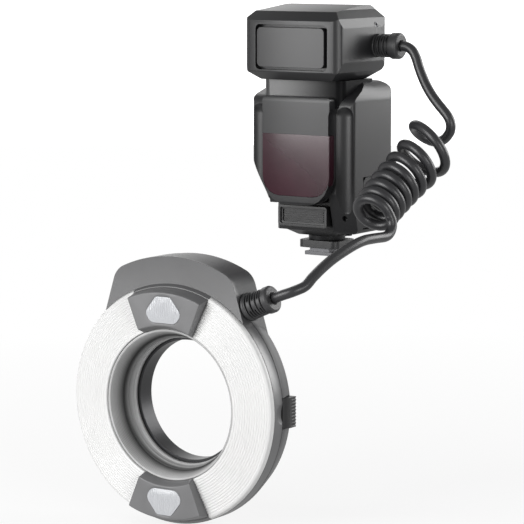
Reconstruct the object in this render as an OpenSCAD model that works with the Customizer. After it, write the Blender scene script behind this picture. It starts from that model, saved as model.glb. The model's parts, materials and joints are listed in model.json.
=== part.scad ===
// Macro ring flash: a control unit on a hot-shoe foot, joined by a curly cord to a ring-shaped flash head.
// Millimetres, +Z up, the front faces -Y. The origin is the centre of the foot's underside.

/* [Hot-shoe foot] */
// Width of the metal foot plate
foot_w = 18.6; // [18:0.1:19]
// Length of the foot plate
foot_l = 18; // [17:0.5:20]
// Thickness of the foot plate
foot_t = 2; // [1.6:0.1:2.2]
// Height of the slot that the shoe's rails fill
rail_gap = 2.2; // [2:0.1:2.6]
// Width of the stem between the rails
stem_w = 12.5; // [12:0.1:13]
// Width of the block above the foot
base_w = 25.5; // [24:0.5:30]
// Depth of the block above the foot
base_d = 21.5; // [21:0.5:26]
// Height of that block
base_h = 4.2; // [3:0.1:6]
// Radius of the lock lever's hub
hub_r = 10.2; // [9.5:0.1:10.5]
// Thickness of the lock lever
lever_t = 2.4; // [1.8:0.1:3]
// Length of the lever from its axis to its thumb end
lever_l = 19; // [17:0.5:22]

/* [Body] */
// Width of the body
body_w = 66.2; // [64:0.2:70]
// Distance of the wings' front from the foot's centre
body_front = 25.9; // [24:0.1:27]
// Distance of the body's back from the foot's centre
body_back = 17.4; // [16.6:0.2:20]
// Height of the body's underside
body_bottom = 14.8; // [14.4:0.1:16]
// Height of the body's back edge
body_top = 97.5; // [96:0.5:104]
// Height of the wings at the front
wing_top = 89.5; // [87:0.5:92]
// Distance of the lower front face from the foot's centre
chin_front = 18.5; // [18:0.1:20]
// Width of the raised front panel
panel_w = 43.4; // [41:0.2:46]
// How far the panel stands ahead of the wings
panel_proud = 6.8; // [5:0.1:9]
// Wall thickness of the body shells
wall = 2; // [1.6:0.1:2.4]
// Place of the seam between the front and rear shells
seam_y = 0; // [-2:0.5:2]
// Bottom of the dark window
window_low = 35; // [34:0.5:40]
// Top of the dark window
window_high = 69; // [66:0.5:74]
// Depth of the window's rim
window_rim = 5; // [4:0.2:6]

/* [Head] */
// Width of the head box
head_w = 62; // [60:0.2:66]
// Distance of the head's front from the foot's centre
head_front = 37.4; // [35:0.1:40]
// Distance of the head's rounded back from the foot's centre
head_back = 16.4; // [15:0.1:18]
// Height of the head's underside above the body's top
head_lift = 1; // [0.6:0.1:3]
// Height of the head box
head_h = 40.5; // [38:0.5:44]
// Width of the neck
neck_w = 51.6; // [48:0.2:54]
// Width of the head's raised front panel
face_w = 43; // [38:0.5:46]
// Height of the head's raised front panel
face_h = 21.5; // [18:0.5:23]

/* [Battery and controls] */
// Radius of a cell
cell_r = 7.05; // [6.9:0.05:7.1]
// Length of a cell
cell_l = 50; // [48:0.5:51]
// Radius of the rear dial
dial_r = 11; // [9:0.5:12]
// Travel of the rear buttons
button_travel = 0.8; // [0.5:0.1:1]

/* [Ring head] */
// Outer radius of the ring
ring_r = 62.6; // [61.6:0.5:66]
// Distance of the ring's front ahead of the foot
ring_ahead = 151; // [140:1:170]
// Distance of the lens axis below the foot
ring_drop = 62.4; // [56:0.2:70]
// Depth of the front housing
front_depth = 10; // [9:0.5:12]
// Depth of the whole ring
ring_depth = 22; // [22:0.5:25]
// How far the hump's top stands out from the ring
hump_rise = 14; // [12:0.5:17]
// How far the lamp blocks stand ahead of the diffuser
lamp_proud = 6.6; // [5:0.2:8]
// Half of the angle that a lamp block takes
lamp_half = 22.5; // [20:0.5:25]
// Rise of the diffuser towards its inner edge
diffuser_rise = 2.3; // [1:0.1:3]
// Radius of the adapter ring's screw thread
thread_r = 33.5; // [33:0.1:34]
// Travel of the release buttons
release_travel = 1.6; // [1.4:0.1:1.8]

/* [Cord] */
// Diameter of the cord
cord_d = 5.4; // [5:0.1:5.4]
// Turns of the curly stretch
coil_turns = 7.95; // [5.95:1:7.95]
// Radius of the curls at the middle of the cord
coil_r = 14.2; // [13.6:0.1:14.6]

/* [Clearances] */
// Gap between a shaft and its bore
run_gap = 0.06; // [0.03:0.01:0.1]
// Gap round a part that slides or swings
slide_gap = 0.3; // [0.3:0.05:0.4]

/* [Hidden] */
$fn = 64;
eps = 0.01;

charcoal = [0.24, 0.24, 0.25];
black_plastic = [0.1, 0.1, 0.105];
ring_grey = [0.3, 0.3, 0.31];
steel = [0.75, 0.75, 0.77];

// Heights of the foot's stack, from the underside up
base_z = foot_t + rail_gap;
base_top = base_z + base_h;
lever_z = base_top + slide_gap;
flare_z = lever_z + lever_t + slide_gap;
spindle_r = 6;
lock_pin_r = 1;
lock_pin_y = 6.8;
carrier_w = 11;
carrier_l = 10.4;
pin_drop = 0.7;
pin_spots = [[0, 0, 1.2], [-4, -3.6, 0.8], [4, -3.6, 0.8], [-4, 2.4, 0.8], [4, 2.4, 0.8]];

// Body
half_w = body_w / 2;
panel_y = -body_front - panel_proud;
scoop_r = 7;
scoop_in = 5.6;
scoop_y = -body_front - 4.2;
scoop_low = body_bottom + 12.6;
scoop_high = wing_top - 10.4;
chin_rise = 22;
bay_corner_top = 34;
chin_back = 5;
sensor_w = 31.6;
sensor_h = 11.6;
wing_sweep_r = 41;
wing_sweep_z = 60;
chin_z = 30;
tray_z = body_bottom + wall;
cell_pitch = 2 * cell_r + 0.7;
tray_top = tray_z + 2 * cell_pitch + 0.4;
tray_front = -chin_front + wall + 0.05;
tray_back = tray_front + 2 * cell_pitch + 0.4;
rear_wall_in = body_back - wall;
upper_cavity_w = body_w - 8.2;
upper_cavity_top = wing_top - 6;
upper_cavity_front = -14;
emitter_z = tray_top + 0.8;

// Battery door on the +X side, hinged along its lower edge
door_front = -chin_front + 3;
door_back = body_back - 3.2;
door_top = tray_top - 1.2;
door_hinge_r = 1.2;
door_hinge_z = tray_z + door_hinge_r + 0.7;
door_hinge_x = half_w - door_hinge_r;
door_pin_r = 0.6;
door_pin_grip = 1.6;
bay_wall = 1.6;
contact_t = 0.4;
door_contact_t = 0.8;
bay_end = cell_l + contact_t + slide_gap + door_contact_t + bay_wall - (half_w - wall);
cell_x0 = -bay_end + bay_wall + contact_t;

// Rear controls
lcd_w = 42;
lcd_h = 28;
lcd_z = 69.5;
lcd_glass_t = 1.2;
lcd_module_t = 4;
button_row_z = 51.6;
button_w = 8;
button_h = 4.4;
button_gap_x = 11;
button_proud = 1.2;
dial_z = 31.5;
dial_boss_r = 5.2;
dial_t = 3.2;
retainer_t = 0.6;
set_r = 3.4;
switch_x = 20.5;
switch_z = 33;
switch_w = 4.4;
switch_h = 5.4;
switch_travel = 4;
test_x = -17;
test_z = 37;
test_r = 2.6;
ready_z = 27;
ready_r = 1.4;

// Head
head_z = body_top + head_lift;
head_top = head_z + head_h;
head_seam = -1.5;
head_half = head_w / 2;
face_z = head_z + 18;
face_proud = 1;
face_recess = 4.2;
face_gap = 1.6;
neck_front = -26.6;
neck_back = 9;
capacitor_r = 10;
capacitor_l = 40;
head_boot_y = 1.5;
head_boot_z = 117;
head_boot_l = 15.5;
head_boot_r = 6.4;
collar_r = 7.2;
collar_l = 5.5;

// Ring, in its own frame: x to the right, y up and z forward from the diffuser's outer edge
diffuser_t = 3;
tray_floor = 2;
mouth_r = thread_r + 6.2;
band = ring_r - mouth_r;
tube_r = mouth_r - 0.2;
tube_wall = 1.7;
baffle_back = -16.4;
baffle_small_r = thread_r - 0.5;
baffle_steps = 8;
back_wall = 1.6;
bore_r = thread_r + 4.6;
yoke_t = 1;
yoke_in = bore_r + 3.9;
yoke_out = yoke_in + 3.5;
groove_r = bore_r - 1.2;
tooth_r = bore_r - 0.8;
button_half = 7.8;
release_z0 = -front_depth - slide_gap;
release_out = ring_r + 1.2;
release_in = ring_r - 9;
yoke_right_z = -ring_depth + back_wall + 1.5;
yoke_left_z = -ring_depth + back_wall + 0.3;
adapter_front = baffle_back - 0.4;
adapter_in = thread_r - 2;
thread_l = 4.4;
screw_ring_r = ring_r - 8;
screw_room = 3.4;
flash_mid = mouth_r + 0.46 * band;
hump_r = ring_r + hump_rise;
hump_face = -2.5;
seam_gap = 0.4;
thumb_r = 18;
hump_back = -ring_depth - 2;
hump_step = -front_depth - 8;
ring_boot_l = 18;
ring_boot_r = 7;
ring_boot_tilt = 21;
ring_boot_x = 0.637 * ring_r;
ring_boot_up = 0.832 * ring_r;
ring_boot_z = -10;
diffuser_r = ring_r - 1.9;
lens_mid = mouth_r + 0.437 * band;
lens_size = band / 22.9;
led_r = 3.7 * lens_size;

// Cord. The free stretches follow chosen points and the curls a helix round a bent axis.
boot_end = [ring_boot_x + ring_boot_l * cos(ring_boot_tilt), -ring_ahead - ring_boot_z,
  -ring_drop + ring_boot_up + ring_boot_l * sin(ring_boot_tilt)];
boot_dir = [cos(ring_boot_tilt), 0, sin(ring_boot_tilt)];
head_end = [head_half + head_boot_l - 0.2, head_boot_y, head_boot_z];
upper_route = [head_end, head_end + [3.6, 0, -0.3], head_end + [7.2, -0.2, -2.4], head_end + [9.8, -0.5,
  -6.2],
  [58.6, 0, 105.6], [61.4, -0.8, 100.4], [64.6, -1.6, 95.4], [68.1, -2.3, 91], [71.6, -2.8, 87.3], [75,
    -3.1, 84],
  [78.05, -3.3, 80.9], [79.8, -3.3, 78.1], [80.3, -3.1, 75.1], [79.6, -2.6, 72.2]];
lower_turn = [[0.9, 0.7, -3.1], [1.4, 0, -6.3], [1.6, -2, -8.8], [1.6, -4.6, -10.2], [1.5, -8.2, -10.7]];
lower_route = [[78.9, -76.4, 21.8], [78.8, -82.5, 21.9], [78.5, -88.5, 21.8], [78.1, -95, 20.9], [77.4,
  -101.8, 19.2],
  [76.4, -109, 16.9], [75.2, -116.4, 14], [74, -123.4, 10.5], [72.8, -129.8, 6.6], boot_end + [14.6, 6.6,
    6.6],
  boot_end + [10.8, 1.7, 4.2], boot_end + [5.4, 0, 2.1]];
coil_back = [87.3, 0.8, 80.5];
coil_bend = [64.8, -30.7, 49.6];
coil_front = [67.6, -62.8, 31.3];
coil_tighten = 4.4;
coil_spread = 3.35;
coil_start = 0.2;
tuck = 7;
tuck_turns = 0.4;
tuck_aside = [-11, 0, 0];
curl_rings = 14;
cord_sides = 8;

// Rounded outlines: each point is [x, y, radius]
function unit(v) = v / norm(v);
function turn(a, b) = let(d = b - a) d > 180 ? d - 360 : d < -180 ? d + 360 : d;
function corner(a, b, c, r, n) = r <= 0 ? [b] :
  let(u = unit(a - b), v = unit(c - b), half = acos(u * v) / 2, mid = b + unit(u + v) * r / sin(half),
      p = b + u * r / tan(half) - mid, q = b + v * r / tan(half) - mid,
      start = atan2(p.y, p.x), sweep = turn(start, atan2(q.y, q.x)))
  [for (i = [0:n]) mid + r * [cos(start + sweep * i / n), sin(start + sweep * i / n)]];
function xy(p) = [p.x, p.y];
function soft(pts, n = 5) = [for (i = [0:len(pts) - 1])
  each corner(xy(pts[(i + len(pts) - 1) % len(pts)]), xy(pts[i]), xy(pts[(i + 1) % len(pts)]), pts[i].z, n)];
function mirror_x(pts) = [for (i = [len(pts) - 1:-1:0]) [-pts[i].x, pts[i].y, pts[i].z]];
function both(pts) = concat(pts, mirror_x(pts));

module box(x0, x1, y0, y1, z0, z1) {
  translate([x0, y0, z0]) cube([x1 - x0, y1 - y0, z1 - z0]);
}
module round_box(w, d, r, z0, z1, y_mid = 0) {
  translate([0, y_mid, z0]) linear_extrude(z1 - z0)
    polygon(soft(both([[w / 2, -d / 2, r], [w / 2, d / 2, r]])));
}
module along_x(w) { rotate([90, 0, 90]) linear_extrude(w, center = true) children(); }
module along_y(y0, y1) { translate([0, y1, 0]) rotate([90, 0, 0]) linear_extrude(y1 - y0) children(); }
module rod_x(r, x0, x1) { translate([x0, 0, 0]) rotate([0, 90, 0]) cylinder(r = r, h = x1 - x0); }
module rod_y(r, y0, y1) { translate([0, y1, 0]) rotate([90, 0, 0]) cylinder(r = r, h = y1 - y0); }
module both_sides() { for (s = [0, 1]) mirror([s, 0, 0]) children(); }

// The hot-shoe foot and its lock
module hot_shoe_foot() {
  color(steel) difference() {
    union() {
      round_box(foot_w, foot_l, 1, 0, foot_t);
      box(-stem_w / 2, stem_w / 2, -foot_l / 2 + 1, foot_l / 2 - 0.5, foot_t - eps, base_z);
    }
    box(-carrier_w / 2, carrier_w / 2, -carrier_l / 2 - 1, carrier_l / 2 - 1, -1, base_z + 1);
    translate([0, lock_pin_y, -1]) cylinder(r = lock_pin_r + run_gap, h = base_z + 2);
  }
}
module contact_carrier() {
  color(black_plastic) difference() {
    box(-carrier_w / 2, carrier_w / 2, -carrier_l / 2 - 1, carrier_l / 2 - 1, 0, base_z);
    for (p = pin_spots) translate([p.x, p.y, -1]) cylinder(r = p.z + run_gap, h = base_z + 2);
  }
}
module contact_pins() {
  color("gold") for (p = pin_spots) translate([p.x, p.y, -pin_drop])
    rotate_extrude() polygon([[0, 0], [p.z - 0.3, 0], [p.z, 0.3], [p.z, base_z - slide_gap], [0,
      base_z - slide_gap]]);
}
module foot_base() {
  color(black_plastic) difference() {
    round_box(base_w, base_d, 4, base_z, base_top);
    translate([0, lock_pin_y, base_z - 1]) cylinder(r = lock_pin_r + run_gap, h = base_h + 2);
  }
}
module foot_spindle() {
  color(black_plastic) {
    translate([0, 0, base_top]) cylinder(r = spindle_r, h = flare_z - base_top + eps);
    intersection() {
      along_x(base_w + 8) polygon([[-base_d / 2, flare_z], [base_d / 2, flare_z], [chin_front - 5,
        body_bottom],
        [-chin_front + 2, body_bottom]]);
      along_y(-chin_front, chin_front) polygon([[-base_w / 2 + 1, flare_z], [base_w / 2 - 1, flare_z],
        [base_w / 2 + 4, body_bottom], [-base_w / 2 - 4, body_bottom]]);
    }
  }
}
module lock_lever() {
  color(charcoal) difference() {
    union() {
      translate([0, 0, lever_z]) cylinder(r = hub_r, h = lever_t);
      translate([0, 0, lever_z]) linear_extrude(lever_t)
        polygon(soft(both([[5, 6, 0], [3.6, lever_l, 1.5]])));
      translate([0, lever_l - 2, lever_z]) linear_extrude(lever_t)
        polygon(soft(both([[5.4, -1.6, 1.2], [5.4, 2, 1.2]])));
    }
    translate([0, 0, lever_z - 1]) cylinder(r = spindle_r + run_gap, h = lever_t + 2);
  }
}
module lock_pin() {
  color(steel) translate([0, lock_pin_y, 0.2]) cylinder(r = lock_pin_r, h = base_top - 0.2);
}

// The control unit's body
module side_outline() {
  polygon(soft([[-body_front, body_bottom, 2], [body_back, body_bottom, 3], [body_back, body_top, 6],
    [-3, body_top, 14], [-body_front, wing_top - 1.5, 7]]));
}
module front_outline() {
  polygon(soft(both([[half_w, body_bottom, 3], [half_w, body_top, 11]])));
}
module plan_outline() {
  polygon(soft(both([[half_w, -body_front, 2.5], [half_w, body_back, 5]])));
}
// What is left out below the sweep on the side away from the battery door
module bay_cut_outline() {
  sweep_x = wing_sweep_r - half_w;
  steep = acos((sweep_x + bay_end) / wing_sweep_r);
  polygon(concat([[-half_w - 1, wing_sweep_z]],
    [for (i = [0:10]) [sweep_x - wing_sweep_r * cos(steep * i / 10),
      wing_sweep_z - wing_sweep_r * sin(steep * i / 10)]],
    [[-bay_end, body_bottom - 1], [-half_w - 1, body_bottom - 1]]));
}
module panel_outline(low, r, inset = 0) {
  polygon(soft(both([[panel_w / 2 - inset, low + inset, r - inset], [panel_w / 2 - inset, wing_top - inset,
    2]])));
}
// A finger-wide hollow beside the panel, rounded at both ends
module scoop() {
  translate([half_w - scoop_in, scoop_y, 0]) {
    translate([0, 0, scoop_low]) cylinder(r = scoop_r, h = scoop_high - scoop_low);
    for (z = [scoop_low, scoop_high]) translate([0, 0, z]) sphere(r = scoop_r);
  }
}
module body_form() {
  difference() {
    union() {
      intersection() {
        along_x(body_w) side_outline();
        along_y(-body_front, body_back) front_outline();
        linear_extrude(body_top) plan_outline();
      }
      intersection() {
        along_y(panel_y, -chin_front) panel_outline(chin_z, 16);
        along_x(body_w) polygon(soft([[panel_y, chin_z, 2], [0, chin_z, 0], [0, body_top, 0],
          [-body_front + 4, body_top, 0], [panel_y, wing_top - 0.5, 5]]));
      }
    }
    both_sides() scoop();
    along_y(-body_front - 1, body_back + 1) bay_cut_outline();
    linear_extrude(bay_corner_top) polygon([[-bay_end - 1, -chin_front - 1], [-bay_end + 3.4,
      -chin_front - 1],
      [-bay_end - 1, -chin_front + 3.4]]);
    difference() {
      box(-half_w - 1, sensor_w / 2 + 1.4, -body_front - 1, -chin_front, body_bottom - 1, chin_z + 10);
      along_y(panel_y - 1, -chin_front + 1) panel_outline(chin_z, 16);
      along_y(panel_y - 1, -chin_front + 1) translate([-half_w - 2, chin_z])
        square([half_w - panel_w / 2 + 6, 20]);
    }
    along_x(body_w + 2) polygon(soft([[-body_front - 1, body_bottom - 1, 0], [-body_front + chin_back,
      body_bottom - 1, 0],
      [-body_front + chin_back, body_bottom + 1, 6], [-body_front, body_bottom + chin_rise, 14],
      [-body_front - 1, body_bottom + chin_rise + 4, 0]]));
  }
}
module body_cavity() {
  box(-bay_end + bay_wall, half_w - wall, tray_front - 0.05, rear_wall_in, tray_z, tray_top + 0.2);
  box(-upper_cavity_w / 2, upper_cavity_w / 2, upper_cavity_front, rear_wall_in, tray_top, upper_cavity_top);
}
module door_cut() {
  box(half_w - wall - 1, half_w + 1, door_front - slide_gap, door_back + slide_gap,
    door_hinge_z - door_hinge_r - slide_gap, door_top + slide_gap);
}
module door_pin_hole(r) {
  translate([door_hinge_x, 0, door_hinge_z]) rod_y(r, door_front - door_pin_grip, door_back + door_pin_grip);
}
module window_seat() {
  along_y(panel_y - 1, panel_y + window_rim) intersection() {
    panel_outline(window_low, 11);
    translate([-panel_w, 0]) square([2 * panel_w, window_high]);
  }
  box(-8, 8, panel_y, upper_cavity_front + 1, emitter_z, emitter_z + 13);
}
module body_front_shell() {
  color(charcoal) difference() {
    intersection() {
      body_form();
      box(-half_w, half_w, panel_y - 1, seam_y, 0, body_top + 1);
    }
    body_cavity();
    window_seat();
    door_cut();
    door_pin_hole(door_pin_r);
    screw_spots() rod_y(1.6, -body_front - 1, -chin_front + wall - 0.2);
  }
}
module rear_cuts() {
  translate([0, 0, lcd_z]) along_y(rear_wall_in - 1, body_back + 1)
    polygon(soft(both([[lcd_w / 2, -lcd_h / 2, 2], [lcd_w / 2, lcd_h / 2, 2]])));
  for (i = [0:3]) box(button_x(i) - button_w / 2 - slide_gap, button_x(i) + button_w / 2 + slide_gap,
    rear_wall_in - 1, body_back + 1, button_row_z - button_h / 2 - slide_gap,
      button_row_z + button_h / 2 + slide_gap);
  translate([0, 0, dial_z]) rod_y(set_r + slide_gap, rear_wall_in - 1, body_back + 1);
  box(switch_x - switch_w / 2 + 0.7, switch_x + switch_w / 2 - 0.7, rear_wall_in - 1, body_back + 1,
    switch_z - switch_h / 2 + 0.8, switch_z + switch_h / 2 + switch_travel - 0.8);
  translate([test_x, 0, test_z]) rod_y(test_r + slide_gap, rear_wall_in - 1, body_back + 1);
  translate([test_x, 0, ready_z]) rod_y(ready_r, rear_wall_in - 1, body_back + 1);
}
module body_rear_shell() {
  color(charcoal) {
    difference() {
      intersection() {
        body_form();
        box(-half_w, half_w, seam_y, body_back + 1, 0, body_top + 1);
      }
      body_cavity();
      door_cut();
      door_pin_hole(door_pin_r);
      rear_cuts();
    }
    translate([0, 0, dial_z]) difference() {
      rod_y(dial_boss_r, body_back - eps, body_back + slide_gap + dial_t + slide_gap);
      rod_y(set_r + slide_gap, body_back - 1, body_back + dial_t + 2);
    }
  }
}
module screw_spots() {
  translate([half_w - 7.4, 0, body_bottom + 8.6]) children();
  translate([-half_w + 7.6, 0, chin_z + 14]) children();
}
module body_screws() {
  color("dimgray") screw_spots() difference() {
    rod_y(1.6, -chin_front - 1.6, -chin_front + wall - 0.2);
    rotate([0, 45, 0]) box(-0.9, 0.9, -chin_front - 2, -chin_front - 1, -0.25, 0.25);
    box(-0.9, 0.9, -chin_front - 2, -chin_front - 1, -0.25, 0.25);
  }
}

// Front fittings
module af_window() {
  color([0.28, 0.1, 0.14, 0.8]) difference() {
    along_y(panel_y, panel_y + window_rim) intersection() {
      panel_outline(window_low, 11);
      translate([-panel_w, 0]) square([2 * panel_w, window_high]);
    }
    along_y(panel_y + 1.8, panel_y + window_rim + 1) intersection() {
      panel_outline(window_low, 11, 1.6);
      translate([-panel_w, 0]) square([2 * panel_w, window_high + 1]);
    }
  }
}
module af_emitter() {
  color([0.15, 0.02, 0.03]) {
    box(-8, 8, panel_y + window_rim + 0.6, upper_cavity_front, emitter_z, emitter_z + 13);
    for (x = [-3.8, 3.8]) translate([x, 0, emitter_z + 6.5]) rod_y(3.2, panel_y + 2.4,
      panel_y + window_rim + 1);
  }
}
module sensor_cover() {
  w = sensor_w;
  h = sensor_h;
  mid = body_bottom + 2.8 + h / 2;
  color(black_plastic) translate([0, 0, mid]) difference() {
    along_y(-body_front + 0.1, -chin_front) polygon(soft(both([[w / 2, -h / 2, 1.6], [w / 2, h / 2, 1.6]])));
    along_y(-body_front - 1, -body_front + 1.3)
      polygon(soft(both([[w / 2 - 1.4, -h / 2 + 1.4, 1], [w / 2 - 1.4, h / 2 - 1.4, 1]])));
    difference() {
      along_y(-body_front, -body_front + 2.2)
        polygon(soft(both([[w / 2 - 2.4, -h / 2 + 2.4, 0.8], [w / 2 - 2.4, h / 2 - 2.4, 0.8]])));
      for (i = [-2:2]) box(-w / 2 + 3, w / 2 - 3, -body_front + 1.5, -body_front + 3, 1.2 * i - 0.3,
        1.2 * i + 0.3);
    }
  }
}

// Battery compartment
module cells_at() {
  for (i = [0, 1], j = [0, 1]) translate([0, tray_front + 0.2 + cell_pitch * (i + 0.5),
    tray_z + 0.2 + cell_pitch * (j + 0.5)]) children();
}
module battery_tray() {
  color("dimgray") difference() {
    box(cell_x0 + 1, cell_x0 + cell_l - 4, tray_front, tray_back, tray_z, tray_top);
    cells_at() rod_x(cell_r + 0.1, cell_x0, cell_x0 + cell_l);
  }
}
module aa_cells() {
  color("silver") cells_at() {
    rod_x(cell_r, cell_x0, cell_x0 + cell_l - 1);
    rod_x(2.6, cell_x0 + cell_l - 1 - eps, cell_x0 + cell_l);
  }
}
module battery_contacts() {
  color("gold") cells_at() {
    rod_x(5, cell_x0 - contact_t, cell_x0);
  }
}
module battery_door() {
  color(charcoal) difference() {
    union() {
      intersection() {
        translate([half_w - wall / 2, 0, 0]) along_x(wall)
          polygon(soft([[door_front, door_hinge_z, 0], [door_back, door_hinge_z, 0],
            [door_back, door_top, 4], [door_front, door_top, 4]]));
        linear_extrude(body_top) plan_outline();
      }
      translate([door_hinge_x, 0, door_hinge_z]) rod_y(door_hinge_r, door_front, door_back);
    }
    door_pin_hole(door_pin_r + run_gap);
    for (i = [0:4]) box(half_w - 0.5, half_w + 1, door_front + 8, door_back - 8,
      door_top - 6 - 1.6 * i, door_top - 5.2 - 1.6 * i);
  }
}
module door_contacts() {
  color("gold") for (j = [0, 1]) translate([0, 0, tray_z + 0.2 + cell_pitch * (j + 0.5)])
    box(half_w - wall - door_contact_t, half_w - wall, door_front + 3, door_back - 3, -3, 3);
}
module door_hinge_pin() {
  color(steel) door_pin_hole(door_pin_r);
}

// Boards and rear controls
module main_board() {
  color("darkgreen") {
    box(-upper_cavity_w / 2, upper_cavity_w / 2, rear_wall_in - lcd_module_t - 3.4,
      rear_wall_in - lcd_module_t - 1.8,
      tray_top + 0.4, upper_cavity_top);
    for (x = [-14, 4]) box(x, x + 12, rear_wall_in - lcd_module_t - 5.4,
      rear_wall_in - lcd_module_t - 3.4 + eps, 56, 68);
  }
}
module lcd_module() {
  color("olive") box(-lcd_w / 2 + 1, lcd_w / 2 - 1, rear_wall_in - lcd_module_t - 1.8,
    body_back - lcd_glass_t,
    lcd_z - lcd_h / 2 + 1, lcd_z + lcd_h / 2 - 1);
}
module lcd_window() {
  color([0.55, 0.62, 0.6, 0.5]) translate([0, 0, lcd_z]) along_y(body_back - lcd_glass_t, body_back + 0.3)
    polygon(soft(both([[lcd_w / 2, -lcd_h / 2, 2], [lcd_w / 2, lcd_h / 2, 2]])));
}
function button_x(i) = (i - 1.5) * button_gap_x;
module function_button(i) {
  color("gray") translate([button_x(i), 0, button_row_z]) {
    along_y(rear_wall_in - 0.6, body_back + button_proud)
      polygon(soft(both([[button_w / 2, -button_h / 2, 1], [button_w / 2, button_h / 2, 1]])));
    box(-button_w / 2 - 0.8, button_w / 2 + 0.8, rear_wall_in - 1.4, rear_wall_in - 0.5,
      -button_h / 2 - 0.7, button_h / 2 + 0.7);
  }
}
module function_button_1() { function_button(0); }
module function_button_2() { function_button(1); }
module function_button_3() { function_button(2); }
module function_button_4() { function_button(3); }
module control_dial() {
  color(black_plastic) translate([0, 0, dial_z]) difference() {
    rod_y(dial_r, body_back + slide_gap, body_back + slide_gap + dial_t);
    rod_y(dial_boss_r + run_gap, body_back - 1, body_back + dial_t + 2);
    for (a = [0:12:348]) rotate([0, a, 0]) translate([dial_r + 0.35, 0, 0]) rod_y(0.7, body_back,
      body_back + dial_t + 2);
  }
}
module dial_retainer() {
  color(steel) translate([0, body_back + 2 * slide_gap + dial_t, dial_z]) difference() {
    rod_y(dial_boss_r + 1, 0, retainer_t);
    rod_y(set_r + slide_gap, -1, retainer_t + 1);
  }
}
module set_button() {
  out = body_back + 2 * slide_gap + dial_t + retainer_t + button_proud;
  color("gray") translate([0, 0, dial_z]) rod_y(set_r, body_back - wall + button_travel + 0.1, out);
}
module power_switch() {
  color("gray") {
    box(switch_x - switch_w / 2, switch_x + switch_w / 2, body_back + slide_gap, body_back + slide_gap + 1.6,
      switch_z - switch_h / 2, switch_z + switch_h / 2);
    box(switch_x - switch_w / 2 + 1, switch_x + switch_w / 2 - 1, rear_wall_in + 0.4,
      body_back + slide_gap + eps,
      switch_z - switch_h / 2 + 1.2, switch_z + switch_h / 2 - 1.2);
  }
}
module test_button() {
  color("gray") translate([test_x, 0, test_z])
    rod_y(test_r, rear_wall_in + button_travel + 0.1, body_back + button_proud);
}
module ready_lamp() {
  color("darkred") translate([test_x, 0, ready_z]) rod_y(ready_r, rear_wall_in + 0.2, body_back + 0.4);
}

// The head
module head_front_outline() {
  polygon(soft(both([[head_half - 8.2, head_z, 2], [head_half - 1.6, head_z + 5, 2], [head_half,
    head_z + 10, 4],
    [head_half, head_top - 11.5, 4], [head_half - 1.4, head_top - 6.8, 1], [head_half - 5.8,
      head_top - 2.2, 1],
    [head_half - 6, head_top, 0]])));
}
module head_side_outline() {
  polygon(soft([[-head_front + 5.5, head_z, 1], [head_back - 13.6, head_z, 3], [head_back - 6.6,
    head_z + 5, 6],
    [head_back, head_z + 17, 14], [head_back, head_z + 27, 14], [head_back - 9, head_top, 9], [-3,
      head_top, 1], [-head_front + 4.7, head_top - 3, 1],
    [-head_front, head_top - 8, 1], [-head_front, head_z + 4.5, 1]]));
}
module head_plan_outline() {
  polygon(soft(both([[head_half, -head_front, 4.5], [head_half, head_back, 9]])));
}
module head_form() {
  intersection() {
    along_x(head_w) head_side_outline();
    along_y(-head_front, head_back) head_front_outline();
    linear_extrude(head_top) head_plan_outline();
  }
}
module head_cavity() {
  box(-head_half + wall + 1, head_half - wall - 1, -head_front + 6, 3, head_z + 8, head_top - 9);
}
module face_outline(grow) {
  polygon(soft(both([[face_w / 2 + grow, face_z - face_h / 2 - grow, 2.5], [face_w / 2 + grow,
    face_z + face_h / 2 + grow, 2.5]])));
}
module head_front_shell() {
  color(charcoal) difference() {
    intersection() {
      head_form();
      box(-head_half, head_half, -head_front - 1, head_seam, head_z - 1, head_top + 1);
    }
    head_cavity();
    head_boot_hole();
    along_y(-head_front - 1, -head_front + face_recess) face_outline(face_gap);
  }
}
module head_boot_hole() {
  translate([0, head_boot_y, head_boot_z]) rod_x(head_boot_r - 1.6, head_half - 6, head_half + 1);
}
module head_rear_shell() {
  color(charcoal) difference() {
    intersection() {
      head_form();
      box(-head_half, head_half, head_seam, head_back + 1, head_z - 1, head_top + 1);
    }
    head_cavity();
    head_boot_hole();
    both_sides() translate([0, head_screw_y(), head_screw_z()]) rod_x(1.5, head_half - 2.4, head_half + 1);
  }
}
function head_screw_y() = head_seam + 2.6;
function head_screw_z() = head_top - 10.6;
module head_front_panel() {
  color(charcoal) along_y(-head_front - face_proud, -head_front + face_recess) face_outline(0);
}
module head_screws() {
  color("dimgray") both_sides() translate([0, head_screw_y(), head_screw_z()]) difference() {
    rod_x(1.5, head_half - 2.4, head_half - 0.2);
    box(head_half - 0.8, head_half, -0.25, 0.25, -1, 1);
    box(head_half - 0.8, head_half, -1, 1, -0.25, 0.25);
  }
}
module neck() {
  color(charcoal) difference() {
    translate([0, (neck_front + neck_back) / 2, 0])
      round_box(neck_w, neck_back - neck_front, 5, wing_top - 6, head_z);
    body_form();
  }
}
module main_capacitor() {
  color("black") translate([0, -head_front + 6 + capacitor_r, head_z + 8 + capacitor_r]) difference() {
    rod_x(capacitor_r, -capacitor_l / 2, capacitor_l / 2);
    rod_x(capacitor_r - 1.5, capacitor_l / 2 - 0.6, capacitor_l / 2 + 1);
  }
}
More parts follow.
